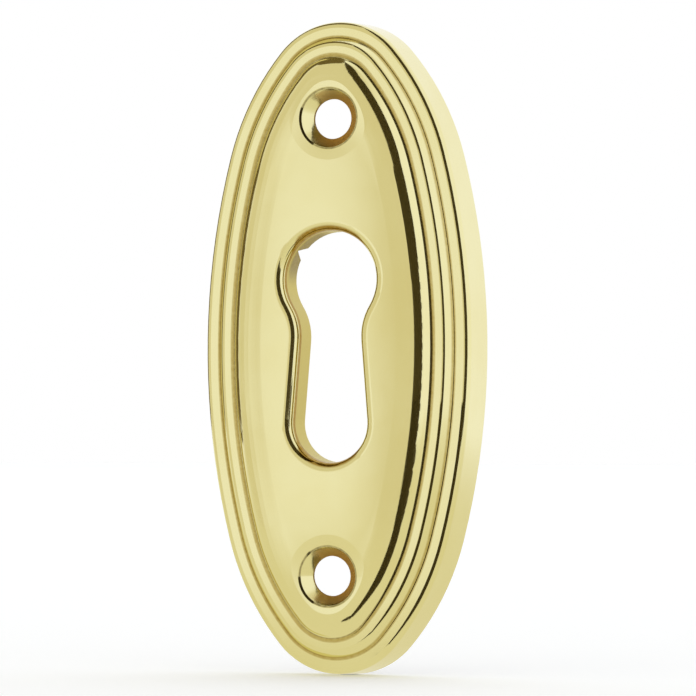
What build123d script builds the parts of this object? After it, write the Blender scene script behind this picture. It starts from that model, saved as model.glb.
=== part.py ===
from build123d import *
from math import atan2, cos, radians, sin, tan
import os

# Oval keyhole escutcheon, pressed in one piece from sheet brass.
# It stands as it is fixed: +Z up along the oval, the face towards -Y,
# the open back on the plane Y = 0 with the origin at its centre. Millimetres.

# Oval outline at the foot of the rim, with a side, a shoulder and an end arc in each quarter
plate_width = 28.0
plate_height = 64.0
end_radius = 8.1
side_angle = 14.7           # turn of the outline where the side arc meets the shoulder arc
shoulder_angle = 40.7       # turn where the shoulder arc meets the end arc
sheet = 1.0                 # thickness of the brass

# Stepped rim in section, from the foot inwards
wall_height = 4.6
wall_lean = 0.25            # the side wall leans in by this much over its height
outer_tread = 1.53
step_rise = 0.9
step_lean = 0.62
inner_tread = 1.36
tread_fall = 0.12           # each tread falls outwards by this much
outer_nose = 0.65           # radius where the wall turns on to the outer tread
inner_nose = 0.6            # radius at the top of the step

# Raised field with a rolled edge, from which it rises gently to a flat middle
field_rise = 0.9
field_lean = 0.73
field_roll = 1.7
dome_rise = 0.22
dome_share = 0.9            # part of the room inside the field's edge that the rise takes up
dome_ease = 0.37            # part of the rise's run over which it dies into the middle

# Keyhole, and the lip that is turned back around it
head_radius = 4.75
head_height = 6.57          # head's centre above the middle of the plate
slot_foot_radius = 3.83
slot_foot_drop = 7.37       # foot's centre below the middle of the plate
slot_flare = 4.7            # each side of the slot opens downwards by this angle
neck_radius = 5.7
lip_depth = 3.75            # from the face to the lip's back edge
lip_wall = 0.8
lip_roll = 0.95

# Tear in the lip's back edge, at the upper left of the head
tear_angle = 143.0
tear_above = 0.45           # reach along the edge, above and below the tear's deepest point
tear_below = 0.95
tear_depth = 2.0

# Two countersunk screw holes on the long axis
screw_margin = 5.31         # from the end of the field to the hole's centre
screw_radius = 1.95
sink_radius = 2.95
sink_angle = 82.0
sink_bevel = 0.12           # bevel on the countersink's edge, out from it and down from it
dish_run = 1.1              # the field dips by dish_fall over this run before the countersink
dish_fall = 0.09
screw_depth = 1.6           # the sheet is pushed back around each hole to this depth
collar_wall = 0.8

# Overlap where one form is joined to another
overlap = 0.6

# Heights above the back, and distances in from the foot
crown = wall_height + step_rise + 2 * tread_fall + field_rise + dome_rise
field_inset = wall_lean + outer_tread + step_lean + inner_tread + field_lean
core_inset = end_radius - overlap
screw_spacing = plate_height - 2 * (field_inset + screw_margin)
dome_room = min(core_inset, plate_width / 2 - head_radius - lip_roll) - sheet - field_inset
dome_run = dome_share * dome_room
dome_radius = dome_ease * dome_run / tan(atan2(dome_rise, dome_run) / 2)

sink_slope = tan(radians(sink_angle / 2))
sink_depth = dish_fall + (sink_radius - screw_radius) / sink_slope
dish_slope = dish_fall / dish_run

# Radii with which the side and shoulder arcs run into the end arc
across = plate_width / 2 - end_radius * cos(radians(shoulder_angle))
along = plate_height / 2 - end_radius * (1 - sin(radians(shoulder_angle)))
side_across = 1 - cos(radians(side_angle))
side_along = sin(radians(side_angle))
shoulder_across = cos(radians(side_angle)) - cos(radians(shoulder_angle))
shoulder_along = sin(radians(shoulder_angle)) - sin(radians(side_angle))
scale = side_along * shoulder_across - side_across * shoulder_along
side_radius = (along * shoulder_across - across * shoulder_along) / scale
shoulder_radius = (across * side_along - along * side_across) / scale


def outwards(angle):
    # Direction in the plate's plane, turned from +X towards +Z
    return Vector(cos(radians(angle)), 0, sin(radians(angle)))


side_centre = Vector(plate_width / 2 - side_radius, 0, 0)
shoulder_centre = side_centre + outwards(side_angle) * (side_radius - shoulder_radius)
end_centre = Vector(0, 0, plate_height / 2 - end_radius)
quarter = (
    (side_centre, side_radius, 0, side_angle),
    (shoulder_centre, shoulder_radius, side_angle, shoulder_angle),
    (end_centre, end_radius, shoulder_angle, 90),
)


def rim_corners(inset):
    # Corners of the rim's section as (outwards from the foot, up from the back),
    # drawn in by inset except at the back
    corners = [(-inset, 0)]
    out, up = -inset, -inset
    for run, rise in (
        (wall_lean, wall_height),
        (outer_tread, tread_fall),
        (step_lean, step_rise),
        (inner_tread, tread_fall),
        (field_lean, field_rise),
        (dome_run, dome_rise),
    ):
        out -= run
        up += rise
        corners.append((out, up))
    corners.append((-core_inset, up))
    return corners


def pressed_form(corners, radii):
    # A full solid with the rim's section all round and a flat middle
    top = corners[-1][1]
    with BuildPart() as form:
        for centre, radius, start, stop in quarter:
            foot = centre + outwards(start) * radius
            with BuildSketch(Plane(foot, x_dir=outwards(start), z_dir=outwards(start - 90))):
                with BuildLine():
                    FilletPolyline(*corners, radius=radii)
                    Polyline(corners[-1], (-core_inset, 0), corners[0])
                make_face()
            revolve(axis=Axis(centre, (0, -1, 0)), revolution_arc=stop - start)
        mirror(about=Plane.YZ)
        mirror(about=Plane.XY)

        # The middle, inside the ring that the section has left
        with BuildSketch(Plane.XZ):
            with BuildLine():
                for centre, radius, start, stop in quarter:
                    CenterArc((centre.X, centre.Z), radius - core_inset, start, stop - start)
                mirror(about=Plane.YZ)
                mirror(about=Plane.XZ)
            make_face()
        extrude(amount=top)
    return form.part


with BuildSketch() as keyhole:
    with BuildLine():
        foot_arc = CenterArc((0, -slot_foot_drop), slot_foot_radius, -90, 90 + slot_flare)
        rise = head_height - (foot_arc @ 1).Y
        side = PolarLine(foot_arc @ 1, rise, direction=foot_arc % 1, length_mode=LengthMode.VERTICAL)
        Line(side @ 1, (0, head_height))
        mirror(about=Plane.YZ)
    make_face()
    with Locations((0, head_height)):
        Circle(head_radius)
    fillet(keyhole.vertices().sort_by(Axis.Y)[-2:], radius=neck_radius)

# The noses and the field's edge are round on the face. Behind it the bends are sharp,
# and one slope stands for the treads and their step, which are struck in the face alone.
outside = pressed_form(rim_corners(0), [outer_nose, 0, inner_nose, 0, field_roll, dome_radius])
back = rim_corners(sheet)
inside = pressed_form(back[:2] + back[5:], [0] * 3)
lip_back = Plane.XZ.offset(crown - lip_depth)

# The space behind the sheet, which leaves the keyhole's lip and the screw holes' collars standing
with BuildPart() as hollow:
    add(inside)
    with BuildSketch(lip_back):
        add(keyhole.sketch)
        offset(amount=lip_wall)
    extrude(amount=lip_depth, mode=Mode.SUBTRACT)
    with BuildSketch(Plane.XZ.offset(crown - screw_depth)):
        with GridLocations(0, screw_spacing, 1, 2):
            Circle(screw_radius + collar_wall)
    extrude(amount=screw_depth, mode=Mode.SUBTRACT)

# What a screw hole takes away, drawn about its axis with the field at height 0
with BuildPart() as screw_hole:
    with BuildSketch(Plane.XZ):
        with BuildLine():
            Polyline(
                (0, dish_fall),
                (sink_radius + 2 * dish_run, dish_fall),
                (sink_radius + sink_bevel, sink_bevel * dish_slope - dish_fall),
                (sink_radius - sink_bevel * sink_slope, -dish_fall - sink_bevel),
                (screw_radius, -sink_depth),
                (screw_radius, -crown),
                (0, -crown),
                close=True,
            )
        make_face()
    revolve(axis=Axis.Z)

with BuildPart() as plate:
    add(outside)
    add(hollow.part, mode=Mode.SUBTRACT)

    # Keyhole through field and lip, with a rolled front edge
    with BuildSketch(lip_back):
        add(keyhole.sketch)
    extrude(amount=lip_depth, mode=Mode.SUBTRACT)
    face = plate.faces().sort_by(Axis.Y)[0]
    fillet(face.inner_wires()[0].edges(), radius=lip_roll)

    # Tear in the lip, cut outwards from the middle of the head
    tear_plane = Plane(
        (0, lip_depth - crown, head_height),
        x_dir=outwards(tear_angle + 90),
        z_dir=outwards(tear_angle),
    )
    with BuildSketch(tear_plane):
        with BuildLine():
            Polyline((-tear_above, 0), (0, tear_depth), (tear_below, 0), close=True)
        make_face()
    extrude(amount=head_radius + lip_wall + overlap, mode=Mode.SUBTRACT)

    # Screw holes, countersunk from the face
    with Locations(Plane.XZ.offset(crown)):
        with GridLocations(0, screw_spacing, 1, 2):
            add(screw_hole.part, mode=Mode.SUBTRACT)

plate.part.label = "escutcheon_plate"

os.makedirs("parts", exist_ok=True)
export_step(plate.part, "parts/escutcheon_plate.step")
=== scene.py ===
import bpy
from math import cos, radians, sin
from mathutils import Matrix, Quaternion, Vector


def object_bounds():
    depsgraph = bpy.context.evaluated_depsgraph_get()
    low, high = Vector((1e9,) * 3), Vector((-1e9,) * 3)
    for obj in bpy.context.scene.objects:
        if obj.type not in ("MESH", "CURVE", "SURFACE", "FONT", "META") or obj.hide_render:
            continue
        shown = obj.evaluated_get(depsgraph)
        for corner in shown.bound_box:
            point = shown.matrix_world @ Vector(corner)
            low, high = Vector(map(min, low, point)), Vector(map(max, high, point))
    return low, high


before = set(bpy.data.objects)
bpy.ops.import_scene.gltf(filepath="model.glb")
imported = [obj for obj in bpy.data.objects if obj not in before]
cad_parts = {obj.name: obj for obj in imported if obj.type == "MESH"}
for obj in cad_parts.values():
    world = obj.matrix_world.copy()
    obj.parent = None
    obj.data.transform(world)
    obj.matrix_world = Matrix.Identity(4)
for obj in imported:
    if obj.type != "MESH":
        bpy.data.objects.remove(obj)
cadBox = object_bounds()
print("frame loaded", cadBox)

mmPerMetre = 1000.0


class Value:
    # a socket that takes part in ordinary sums, each one a Math node
    def __init__(self, tree, socket):
        self.tree = tree
        self.socket = socket

    def math(self, operation, *inputs):
        return self.tree.node("ShaderNodeMath", {"operation": operation}, inputs)["Value"]

    def __add__(self, other):
        return self.math("ADD", self, other)

    def __radd__(self, other):
        return self.math("ADD", other, self)

    def __sub__(self, other):
        return self.math("SUBTRACT", self, other)

    def __rsub__(self, other):
        return self.math("SUBTRACT", other, self)

    def __mul__(self, other):
        return self.math("MULTIPLY", self, other)

    def __rmul__(self, other):
        return self.math("MULTIPLY", other, self)

    def __truediv__(self, other):
        return self.math("DIVIDE", self, other)

    def __pow__(self, other):
        return self.math("POWER", self, other)

    def __abs__(self):
        return self.math("ABSOLUTE", self)

    def __lt__(self, other):
        return self.math("LESS_THAN", self, other)

    def __gt__(self, other):
        return self.math("GREATER_THAN", self, other)

    def least(self, other):
        return self.math("MINIMUM", self, other)

    def most(self, other):
        return self.math("MAXIMUM", self, other)


class Tree:
    # adds nodes to one node tree and links what it is given
    def __init__(self, nodeTree):
        self.nodes = nodeTree.nodes
        self.links = nodeTree.links
        self.nodes.clear()

    def node(self, kind, settings=None, inputs=()):
        made = self.nodes.new(kind)
        for name, value in (settings or {}).items():
            setattr(made, name, value)
        pairs = inputs.items() if isinstance(inputs, dict) else enumerate(inputs)
        for key, value in pairs:
            socket = made.inputs[key]
            if isinstance(value, Value):
                self.links.new(value.socket, socket)
            else:
                socket.default_value = value
        return {out.name: Value(self, out) for out in made.outputs if out.enabled}

    def mixColour(self, factor, first, second):
        # the colours of a Mix node are its sockets 6 and 7
        inputs = {0: factor, 6: first, 7: second}
        return self.node("ShaderNodeMix", {"data_type": "RGBA"}, inputs)["Result"]

    def ease(self, value, start, stop, shape="SMOOTHSTEP"):
        # 0 at start, 1 at stop, smooth between
        inputs = {"Value": value, "From Min": start, "From Max": stop}
        return self.node("ShaderNodeMapRange", {"interpolation_type": shape}, inputs)["Result"]

    def slide(self, value, start, stop):
        # 0 at start, 1 at stop, straight between
        return self.ease(value, start, stop, "LINEAR")

    def noise(self, place, scale, detail, roughness):
        inputs = {"Vector": place, "Scale": scale, "Detail": detail, "Roughness": roughness}
        return self.node("ShaderNodeTexNoise", None, inputs)["Fac"]

    def principled(self, sockets):
        shader = self.node("ShaderNodeBsdfPrincipled", None, sockets)["BSDF"]
        self.node("ShaderNodeOutputMaterial", None, {"Surface": shader})


def newMaterial(name):
    material = bpy.data.materials.new(name)
    material.use_nodes = True
    return material, Tree(material.node_tree)


# the oval that the rim follows, in millimetres
oval = {
    "halfWidth": 14.0,
    "halfHeight": 32.0,
    "endRadius": 8.1,
    "sideAngle": radians(14.7),             # turn of the outline where its arcs meet
    "shoulderAngle": radians(40.7),
}

# the sheet and its rim: insets from the oval, and heights above the back
rim = {
    "crown": 6.86,                          # height of the field
    "wallInset": 0.6,                       # the outer wall lies within this
    "backSlope": 0.481,                     # rise of the sheet's back behind the rim, and where it ends
    "backInset": 5.5,
    "faceAbove": (3.3, 3.6),                # the face lies higher than this above that slope
    "creases": (1.78, 3.76),                # the two inner corners
    "goldShift": (0.02, 0.20),              # gold line outside each corner, and how it fades
    "goldFade": ((0.10, 0.26), (0.12, 0.30)),
    "darkLineShadeFade": (0.0, 0.10),               # painted dark line of shade in the second corner
    "cornerReach": ((0.12, 0.075), (0.28, 0.18)),   # rounding of the corners, on tread and riser
    "cornerTurn": (0.45, 0.70),
    "levels": ((0.30, 1.78), (2.40, 3.76)),         # treads that polishing has levelled
    "levelled": 0.12,
    "fieldShape": 0.345,                    # width of the field over its height
    "fieldRadius": 80.0,                    # gentle doming across the field
    "fieldReach": (7.2, 9.0),               # the doming eases off between these distances from the middle
}

# the keyhole: places from the middle of the plate, depths below the field
keyhole = {
    "headRadius": 4.75,
    "headHeight": 6.57,
    "footRadius": 3.83,
    "footDrop": 7.37,
    "flare": radians(4.7),                  # lean of the slot's sides
    "neck": 4.0,                            # how softly the slot runs into the head
    "wallReach": 0.4,                       # the lip's wall lies this close to the edge
    "wallFade": (0.85, 1.0),
    "rollReach": 0.9,                       # polished roll of the front edge
    "rollDepth": 0.97,
    "rollFade": (0.62, 0.76),               # painted brown shade on its lower part
    "headEnd": (2.0, 4.4),                  # the painted shade climbs at the top of the head and at the foot
    "footEnd": (8.6, 10.8),
    "endClimb": 0.56,
    "underRollShadeDepth": 0.98,                     # painted brown line of shade under the roll
    "underRollShadeFade": (0.14, 0.28),
    "tornUp": (-0.9, 1.5),                  # torn stretch: up from the head's centre, left, and down
    "tornLeft": (0.4, 2.0),
    "tornDown": (1.2, 2.0),
}

# the two screw holes: distances from each hole's axis, depths below the field
screwHole = {
    "height": 22.2,
    "coneFade": (2.7, 3.0),
    "coneDepth": (0.1, 0.5),
    "brightSide": (-0.72, -0.45),           # the left of the cone stays bright; painted shade darkens the rest
    "edge": 2.93,                           # painted dark ring of shade round the countersink
    "edgeFade": (0.03, 0.13),
    "reach": 3.1,                           # the polished cone lies within this
    "reachDepth": 1.28,
    "fieldDepth": 0.6,                      # what is no deeper belongs to the field
    "dish": (3.05, 4.05),                   # soft dip round the hole, partly polished away
    "dishInset": (5.0, 6.5),
    "dishFilled": 0.035,
}

brass = {
    "pale": (0.865, 0.81, 0.45, 1),
    "deep": (0.82, 0.74, 0.35, 1),
    "deepFade": (0.35, 0.75),
    "deepShare": 0.45,
    "coneShade": (0.70, 0.47, 0.15, 1),          # painted shade on the countersinks' right side
    "coneShadeShare": (0.45, 0.5),               # each share: the least of it, and what a noise adds
    "edgeShare": (0.0, 1.1),
    "gold": (0.46, 0.33, 0.065, 1),         # light caught in the inner corners
    "goldShare": (0.4, 0.6),
    "darkLineShade": (0.10, 0.06, 0.015, 1),        # painted dark line of shade, in the inner corner and round the countersinks
    "darkLineShadeShare": (-0.1, 0.9),
    "raw": (0.57, 0.46, 0.085, 1),          # unpolished wall of the lip
    "rawShare": (0.75, 0.25),
    "behind": (0.60, 0.50, 0.19, 1),        # unpolished back of the sheet
    "stain": (0.53, 0.42, 0.145, 1),
    "stainFade": (0.35, 0.75),
    "stainFlecks": 0.6,
    "torn": (0.42, 0.35, 0.20, 1),
    "tornShare": (0.5, 0.5),
    "brown": (0.36, 0.205, 0.010, 1),       # painted brown shade on and under the keyhole's roll
    "brownShare": (0.6, 0.6),
    "roughness": 0.10,
    "polishSwing": 0.04,
    "rawRoughness": 0.38,
    "rawSwing": 0.2,
    "tornRoughness": 0.2,                   # added where the brass is torn, in the corners, in the cones
    "goldRoughness": 0.08,
    "sunkRoughness": 0.22,
    "cloud": (0.11, 3.0, 0.6),              # noises: scale, detail and roughness
    "wave": (0.30, 1.0, 0.4),
    "fleck": (2.6, 4.0, 0.6),
    "rub": (14.0, 3.0, 0.7),
    "ripple": 0.013,                        # heights in mm, left by pressing and polishing
    "haze": 0.0004,
    "rawGrain": 0.004,
    "tornGrain": 0.12,
}


def ovalInset(x, z):
    # distance in from the oval's outline, arc by arc
    w, h, end = oval["halfWidth"], oval["halfHeight"], oval["endRadius"]
    a, b = oval["sideAngle"], oval["shoulderAngle"]
    across = w - end * cos(b)
    along = h - end * (1 - sin(b))
    sideAcross, sideAlong = 1 - cos(a), sin(a)
    shoulderAcross, shoulderAlong = cos(a) - cos(b), sin(b) - sin(a)
    scale = sideAlong * shoulderAcross - sideAcross * shoulderAlong
    side = (along * shoulderAcross - across * shoulderAlong) / scale
    shoulder = (across * sideAlong - along * sideAcross) / scale
    sideX = w - side
    shoulderX = sideX + cos(a) * (side - shoulder)
    shoulderZ = sin(a) * (side - shoulder)
    fromSide = side - ((x - sideX) ** 2 + z ** 2) ** 0.5
    fromShoulder = shoulder - ((x - shoulderX) ** 2 + (z - shoulderZ) ** 2) ** 0.5
    fromEnd = end - (x ** 2 + (z - (h - end)) ** 2) ** 0.5
    inSide = z * cos(a) - (x - sideX) * sin(a) < 0
    inEnd = (z - (h - end)) * cos(b) - x * sin(b) > 0
    return inSide * fromSide + inEnd * fromEnd + (1 - inSide - inEnd) * fromShoulder


def keyholeDistance(x, z):
    # distance out from the keyhole's edge: head circle, straight sides and round foot
    turn, drop, foot = keyhole["flare"], keyhole["footDrop"], keyhole["footRadius"]
    fromHead = (x ** 2 + (z - keyhole["headHeight"]) ** 2) ** 0.5 - keyhole["headRadius"]
    fromFoot = (x ** 2 + (z + drop) ** 2) ** 0.5 - foot
    fromSide = x * cos(turn) + (z + drop) * sin(turn) - foot
    inFoot = z + drop < foot * sin(turn)
    aboveSlot = z > keyhole["headHeight"]
    fromSlot = inFoot * fromFoot + (1 - inFoot) * fromSide + aboveSlot * oval["halfHeight"]
    return fromHead.math("SMOOTH_MIN", fromHead, fromSlot, keyhole["neck"])


def placesOnPlate(tree):
    # where a point of the plate lies, in millimetres
    place = tree.node("ShaderNodeTexCoord")["Object"]
    sockets = {0: place, "Scale": mmPerMetre}
    inMm = tree.node("ShaderNodeVectorMath", {"operation": "SCALE"}, sockets)["Vector"]
    split = tree.node("ShaderNodeSeparateXYZ", None, {0: inMm})
    x, z = split["X"], split["Z"]
    height = 0 - split["Y"]
    return {
        "inMm": inMm,
        "x": x,
        "z": z,
        "height": height,
        "below": rim["crown"] - height,
        "inset": ovalInset(abs(x), abs(z)),
        "fromKeyhole": keyholeDistance(abs(x), z),
        "fromScrew": (x ** 2 + (abs(z) - screwHole["height"]) ** 2) ** 0.5,
    }


def rimMasks(tree, at):
    # the face as against the sheet's back, and the corners' painted gold light and painted dark line of
    # shade
    inset = at["inset"]
    backHeight = inset.least(rim["backInset"]) * rim["backSlope"]
    face = tree.ease(at["height"] - backHeight, *rim["faceAbove"])
    lines = []
    for crease, shift, fade in zip(rim["creases"], rim["goldShift"], rim["goldFade"]):
        lines.append(1 - tree.ease(abs(inset - crease + shift), *fade))
    fromInner = abs(inset - rim["creases"][1])
    return {
        "face": face,
        "gold": lines[0].most(lines[1]) * face,
        "darkLineShade": (1 - tree.ease(fromInner, *rim["darkLineShadeFade"])) * face,
    }


def keyholeMasks(tree, at):
    # polished roll with painted brown shade on its lower part and a painted brown line of shade under it,
    # then the raw wall with its torn stretch
    below, distance = at["below"], at["fromKeyhole"]
    left, down = 0 - at["x"], 0 - at["z"]
    up = at["z"] - keyhole["headHeight"]
    lip = distance < keyhole["wallReach"]
    roll = (distance < keyhole["rollReach"]) * (below < keyhole["rollDepth"])
    wall = lip * tree.ease(below, *keyhole["wallFade"])
    underRollShade = lip * (1 - tree.ease(abs(below - keyhole["underRollShadeDepth"]), *keyhole["underRollShadeFade"]))
    ends = tree.ease(up, *keyhole["headEnd"]).most(tree.ease(down, *keyhole["footEnd"]))
    lowerRollShade = roll * tree.ease(below + ends * keyhole["endClimb"], *keyhole["rollFade"]) * (1 - wall)
    torn = lip * tree.ease(up, *keyhole["tornUp"]) * tree.ease(left, *keyhole["tornLeft"])
    return {
        "lip": lip,
        "roll": roll,
        "wall": wall,
        "brown": lowerRollShade.most(underRollShade),
        "torn": torn * tree.ease(below, *keyhole["tornDown"]),
    }


def screwMasks(tree, at):
    # countersinks with painted shade on their right side and a painted dark ring of shade round them
    below, distance = at["below"], at["fromScrew"]
    cone = (1 - tree.ease(distance, *screwHole["coneFade"])) * tree.ease(below, *screwHole["coneDepth"])
    shadeRing = 1 - tree.ease(abs(distance - screwHole["edge"]), *screwHole["edgeFade"])
    return {
        "cone": (distance < screwHole["reach"]) * (below < screwHole["reachDepth"]),
        "coneShade": cone * tree.ease(at["x"] / distance, *screwHole["brightSide"]),
        "edge": shadeRing * (below < screwHole["fieldDepth"]),
    }


def plateMasks(tree, at):
    on = {**rimMasks(tree, at), **keyholeMasks(tree, at), **screwMasks(tree, at)}
    shown = on["face"].most(at["inset"] < rim["wallInset"]).most(on["cone"]).most(on["roll"])
    on["behind"] = (1 - shown) * (1 - on["lip"])
    on["raw"] = on["wall"].most(on["behind"])
    return on


def patchy(noise, share):
    least, added = share
    return least + noise * added


def swing(noise, amount):
    # a noise about 0
    return (noise - 0.5) * amount


def brassColour(tree, on, noises):
    fleck, rub = noises["fleck"], noises["rub"]
    deep = tree.ease(noises["cloud"], *brass["deepFade"]) * brass["deepShare"]
    stain = tree.ease(noises["wave"] + swing(fleck, brass["stainFlecks"]), *brass["stainFade"])
    unpolished = tree.mixColour(stain, brass["behind"], brass["stain"])
    colour = tree.mixColour(deep, brass["pale"], brass["deep"])
    # painted shade on the right side of each countersink
    colour = tree.mixColour(on["coneShade"] * patchy(fleck, brass["coneShadeShare"]), colour, brass["coneShade"])
    # painted dark ring of shade round the countersinks
    colour = tree.mixColour(on["edge"] * patchy(fleck, brass["edgeShare"]), colour, brass["darkLineShade"])
    colour = tree.mixColour(on["gold"] * patchy(fleck, brass["goldShare"]), colour, brass["gold"])
    # painted dark line of shade in the inner corner
    colour = tree.mixColour(on["darkLineShade"] * patchy(fleck, brass["darkLineShadeShare"]), colour, brass["darkLineShade"])
    colour = tree.mixColour(on["wall"] * patchy(rub, brass["rawShare"]), colour, brass["raw"])
    colour = tree.mixColour(on["behind"], colour, unpolished)
    colour = tree.mixColour(on["torn"] * patchy(fleck, brass["tornShare"]), colour, brass["torn"])
    # painted brown shade on and under the keyhole's roll
    return tree.mixColour(on["brown"] * patchy(fleck, brass["brownShare"]), colour, brass["brown"])


def brassRoughness(on, noises):
    cloud, rub = noises["cloud"], noises["rub"]
    polished = brass["roughness"] + swing(cloud, brass["polishSwing"]) + swing(rub, brass["polishSwing"])
    dull = brass["rawRoughness"] + swing(rub, brass["rawSwing"]) + on["torn"] * brass["tornRoughness"]
    roughness = polished * (1 - on["raw"]) + dull * on["raw"]
    return roughness + on["gold"] * brass["goldRoughness"] + on["coneShade"] * brass["sunkRoughness"]


def fieldDome(at):
    # height of the field's gentle doming, which eases off towards the rim
    start, stop = (reach ** 2 for reach in rim["fieldReach"])
    square = at["x"] ** 2 + (at["z"] * rim["fieldShape"]) ** 2
    eased = (square - start).most(0).least(stop - start)
    return (eased ** 2 / (2 * (stop - start)) - square.least(stop)) / (2 * rim["fieldRadius"])


def softenedForms(tree, at, on):
    # heights of the rounded inner corners, the levelled treads and the filled dishes
    inset = at["inset"]
    height = 0
    turnTread, turnRiser = rim["cornerTurn"]
    for crease, (toTread, toRiser) in zip(rim["creases"], rim["cornerReach"]):
        onRiser = on["face"] * (inset > crease)
        onTread = on["face"] * (inset < crease)
        tread = (toTread - (crease - inset)).most(0) ** 2 * (turnTread / (2 * toTread))
        riser = (toRiser - (inset - crease)).most(0) ** 2 * (turnRiser / (2 * toRiser))
        height = height + tread * onTread + riser * onRiser
    for start, stop in rim["levels"]:
        height = height - tree.slide(inset, start, stop) * (1 - on["behind"]) * rim["levelled"]
    dish = tree.slide(at["fromScrew"], *screwHole["dish"]) * tree.ease(inset, *screwHole["dishInset"])
    dish = dish * (at["below"] < screwHole["fieldDepth"])
    return height - dish * screwHole["dishFilled"]


def brassRelief(tree, at, on, noises):
    # doming and softened forms, ripples, fine haze, the grain of the raw brass and the rough tear
    fleck, rub = noises["fleck"], noises["rub"]
    dome = fieldDome(at) * (1 - on["behind"])
    relief = softenedForms(tree, at, on) + noises["wave"] * brass["ripple"] + fleck * brass["haze"]
    relief = relief + rub * (on["raw"] * brass["rawGrain"]) + fleck * (on["torn"] * brass["tornGrain"])
    inMetres = (dome + relief) * (1 / mmPerMetre)
    sockets = {"Strength": 1.0, "Distance": 1.0, "Height": inMetres}
    return tree.node("ShaderNodeBump", None, sockets)["Normal"]


def polishedBrass():
    material, tree = newMaterial("polishedBrass")
    at = placesOnPlate(tree)
    on = plateMasks(tree, at)
    noises = {name: tree.noise(at["inMm"], *brass[name]) for name in ("cloud", "wave", "fleck", "rub")}
    tree.principled({
        "Base Color": brassColour(tree, on, noises),
        "Metallic": 1.0,
        "Roughness": brassRoughness(on, noises),
        "Normal": brassRelief(tree, at, on, noises),
    })
    return material


def dressPlate():
    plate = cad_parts["escutcheon_plate"]
    plate.material_slots[0].material = polishedBrass()


dressPlate()
print("plate finished")

studio = {
    "front": (0.76, 0.71, 0.53, 1),         # warm shade of the tent's front
    "white": (1.0, 1.0, 1.0, 1),            # behind the plate and to its right
    "whiteBehind": (-0.35, 0.25),
    "whiteRight": (0.45, 0.75),
    "glow": (0.97, 0.965, 0.94, 1),         # brightest part of the front, mirrored by the field
    "glowAzimuth": radians(-24.5),
    "glowSpread": (cos(radians(15)), cos(radians(2))),
}


def tentColour(tree, away):
    # what the tent shows in a direction
    split = tree.node("ShaderNodeSeparateXYZ", None, {0: away})
    behind = tree.ease(split["Y"], *studio["whiteBehind"])
    right = tree.ease(split["X"], *studio["whiteRight"])
    colour = tree.mixColour(behind.most(right), studio["front"], studio["white"])
    a = studio["glowAzimuth"]
    middle = (sin(a), -cos(a), 0.0)
    towards = tree.node("ShaderNodeVectorMath", {"operation": "DOT_PRODUCT"}, {0: away, 1: middle})["Value"]
    return tree.mixColour(tree.ease(towards, *studio["glowSpread"]), colour, studio["glow"])


def lightTent():
    world = bpy.data.worlds.new("lightTent")
    bpy.context.scene.world = world
    world.use_nodes = True
    tree = Tree(world.node_tree)
    colour = tentColour(tree, tree.node("ShaderNodeTexCoord")["Generated"])
    light = tree.node("ShaderNodeBackground", None, {"Color": colour, "Strength": 1.0})["Background"]
    tree.node("ShaderNodeOutputWorld", None, {"Surface": light})


def plainMaterial(name, sockets):
    material, tree = newMaterial(name)
    tree.principled(sockets)
    return material


ground = {
    "size": 6.0,
    "colour": (0.93, 0.95, 0.99, 1),
    "roughness": 0.9,
    "specular": 0.1,
    "glow": (0.75, 0.80, 1.0, 1),
    "glowStrength": 0.2,
}


def paleFloor():
    bpy.ops.object.select_all(action="DESELECT")
    bpy.ops.mesh.primitive_plane_add(size=ground["size"], location=(0, 0, cadBox[0][2]))
    floor = bpy.context.active_object
    floor.name = "paleFloor"
    sockets = {
        "Base Color": ground["colour"],
        "Roughness": ground["roughness"],
        "Specular IOR Level": ground["specular"],
        "Emission Color": ground["glow"],
        "Emission Strength": ground["glowStrength"],
    }
    floor.data.materials.append(plainMaterial("paleFloor", sockets))


# cards that the polished metal alone can see, in metres
card = {
    "black": (0.055, 0.041, 0.014, 1),
    "dim": (0.15, 0.11, 0.038, 1),
    "brown": (0.48, 0.31, 0.11, 1),
    "dull": {"Roughness": 1.0, "Specular IOR Level": 0.0},
    "camera": (radians(5), radians(51.6), 0.20, 0.30),      # two azimuths, radius, height: round the camera
    "left": (radians(-127), radians(-87), 0.45, 0.50),      # the same: left of the plate and behind it
    "lift": 0.0003,
    "wallSides": 180,
    "roundSides": 96,
    "stripNear": -0.016,                    # small card close to the plate's lower right, shaped to the rim
    "stripInner": (0.0099, 0.0305),
    "stripOuter": (0.0210, 0.0470),
    "stripHeights": (-0.0318, -0.0055),
    "overhead": (0.19, (-0.19, 0, 0.50)),   # radius and place of the card above the plate
    "floor": (2.5, 0.0001),                 # radius and lift of the card on the whole floor
    "floorFade": (0.03, 0.30),
    "floorColour": (0.80, 0.76, 0.57, 1),
    "lining": (0.0027, -0.0051, 0.0222),    # radius, depth and height of the cards behind the screw holes
}


def floorInTent():
    # the floor as the metal sees it: warm near the plate, one with the tent far away
    material, tree = newMaterial("floorInTent")
    place = tree.node("ShaderNodeTexCoord")["Object"]
    out = tree.node("ShaderNodeVectorMath", {"operation": "LENGTH"}, {0: place})["Value"]
    away = tree.node("ShaderNodeVectorMath", {"operation": "NORMALIZE"}, {0: place})["Vector"]
    far = tree.ease(out, *card["floorFade"])
    tree.principled({
        "Base Color": (0, 0, 0, 1),
        "Emission Color": tree.mixColour(far, card["floorColour"], tentColour(tree, away)),
        "Emission Strength": 1.0,
        **card["dull"],
    })
    return material


def onlyMirrored(piece, name, material):
    piece.name = name
    piece.data.materials.append(material)
    piece.visible_camera = False
    piece.visible_diffuse = False
    piece.visible_shadow = False


def keepSide(point, normal, inner):
    # cuts a card along a plane and leaves one side of it
    bpy.ops.mesh.select_all(action="SELECT")
    bpy.ops.mesh.bisect(plane_co=point, plane_no=normal, clear_inner=not inner, clear_outer=inner)


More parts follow.
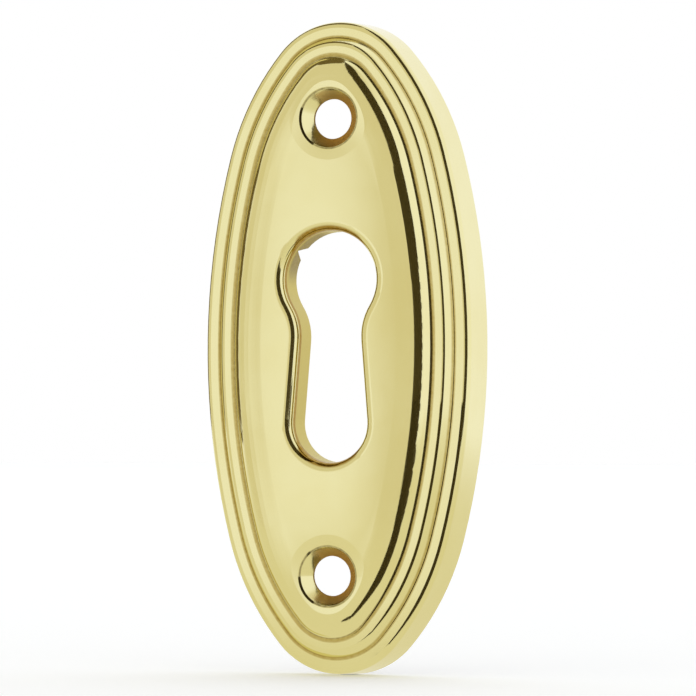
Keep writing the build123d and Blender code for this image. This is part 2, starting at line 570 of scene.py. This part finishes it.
def uprightCard(name, material, base, sector):
    # a round wall with a lid, cut down to a sector
    low, high, radius, height = sector
    middle = (low + high) / 2
    bpy.ops.object.select_all(action="DESELECT")
    bpy.ops.mesh.primitive_cylinder_add(
        vertices=card["wallSides"],
        radius=radius,
        depth=height,
        end_fill_type="NGON",
        location=(0, 0, base + height / 2),
    )
    bpy.ops.object.mode_set(mode="EDIT")
    keepSide((0, 0, base + card["lift"]), (0, 0, 1), False)
    keepSide((0, 0, 0), (cos(low), sin(low), 0), False)
    keepSide((0, 0, 0), (cos(high), sin(high), 0), True)
    keepSide((0, 0, 0), (sin(middle), -cos(middle), 0), False)
    bpy.ops.object.mode_set(mode="OBJECT")
    onlyMirrored(bpy.context.active_object, name, material)


def stripCard(name, material):
    # part of an oval ring that stands before the plate
    across, along = card["stripInner"]
    wide, tall = card["stripOuter"]
    low, high = card["stripHeights"]
    middle = (0, card["stripNear"], 0)
    bpy.ops.object.select_all(action="DESELECT")
    bpy.ops.mesh.primitive_circle_add(
        vertices=card["wallSides"], radius=1.0, location=middle, rotation=(radians(90), 0, 0)
    )
    bpy.ops.object.mode_set(mode="EDIT")
    bpy.ops.transform.resize(value=(across, 1, along), center_override=middle)
    bpy.ops.mesh.extrude_edges_move()
    bpy.ops.transform.resize(value=(wide / across, 1, tall / along), center_override=middle)
    keepSide((0, 0, low), (0, 0, 1), False)
    keepSide((0, 0, high), (0, 0, 1), True)
    keepSide((0, 0, 0), (1, 0, 0), False)
    bpy.ops.object.mode_set(mode="OBJECT")
    onlyMirrored(bpy.context.active_object, name, material)


def roundCard(name, material, radius, location, upright=False):
    bpy.ops.object.select_all(action="DESELECT")
    turn = (radians(90), 0, 0) if upright else (0, 0, 0)
    bpy.ops.mesh.primitive_circle_add(
        vertices=card["roundSides"], radius=radius, fill_type="TRIFAN", location=location, rotation=turn
    )
    onlyMirrored(bpy.context.active_object, name, material)


def mirroredCards():
    # black by the camera and close to the plate, dim at the left and overhead, warm on the floor,
    # brown behind the screw holes
    black = plainMaterial("blackCard", {"Base Color": card["black"], **card["dull"]})
    dim = plainMaterial("dimCard", {"Base Color": card["dim"], **card["dull"]})
    brown = plainMaterial("brownCard", {"Base Color": card["brown"], **card["dull"]})
    floor = cadBox[0][2]
    uprightCard("blackCardUpright", black, floor, card["camera"])
    uprightCard("dimCardLeft", dim, floor, card["left"])
    stripCard("blackCardStrip", black)
    roundCard("dimCardOverhead", dim, *card["overhead"])
    radius, up = card["floor"]
    roundCard("warmCardFloor", floorInTent(), radius, (0, 0, floor + up))
    radius, back, up = card["lining"]
    for side in (-1, 1):
        roundCard("brownCardHole", brown, radius, (0, back, side * up), True)


lightTent()
paleFloor()
mirroredCards()
bpy.context.scene.view_settings.view_transform = "Standard"
print("stage set")

view = {
    "azimuth": radians(21),
    "elevation": radians(-1.3),
    "distance": 0.390,
    "roll": radians(0.1),
    "pixelsPerMm": 10.16,
    "imageSize": 696,
    "originPixel": (352.9, 348.4),          # where the plate's origin falls in the image
    "sensor": 36.0,
    "clipStart": 0.01,
}


def photoCamera():
    data = bpy.data.cameras.new("photoCamera")
    camera = bpy.data.objects.new("photoCamera", data)
    bpy.context.scene.collection.objects.link(camera)
    a, e = view["azimuth"], view["elevation"]
    back = Vector((sin(a) * cos(e), -cos(a) * cos(e), sin(e)))
    right = Vector((cos(a), sin(a), 0))
    up = back.cross(right)
    middle = view["imageSize"] / 2
    offRight = (middle - view["originPixel"][0]) / view["pixelsPerMm"] / mmPerMetre
    offUp = (view["originPixel"][1] - middle) / view["pixelsPerMm"] / mmPerMetre
    aim = right * offRight + up * offUp
    camera.location = aim + back * view["distance"]
    camera.rotation_mode = "QUATERNION"
    camera.rotation_quaternion = back.to_track_quat("Z", "Y") @ Quaternion((0, 0, 1), view["roll"])
    data.sensor_width = view["sensor"]
    data.lens = view["sensor"] * view["pixelsPerMm"] * mmPerMetre * view["distance"] / view["imageSize"]
    data.clip_start = view["clipStart"]
    bpy.context.scene.camera = camera


photoCamera()
print("camera placed")
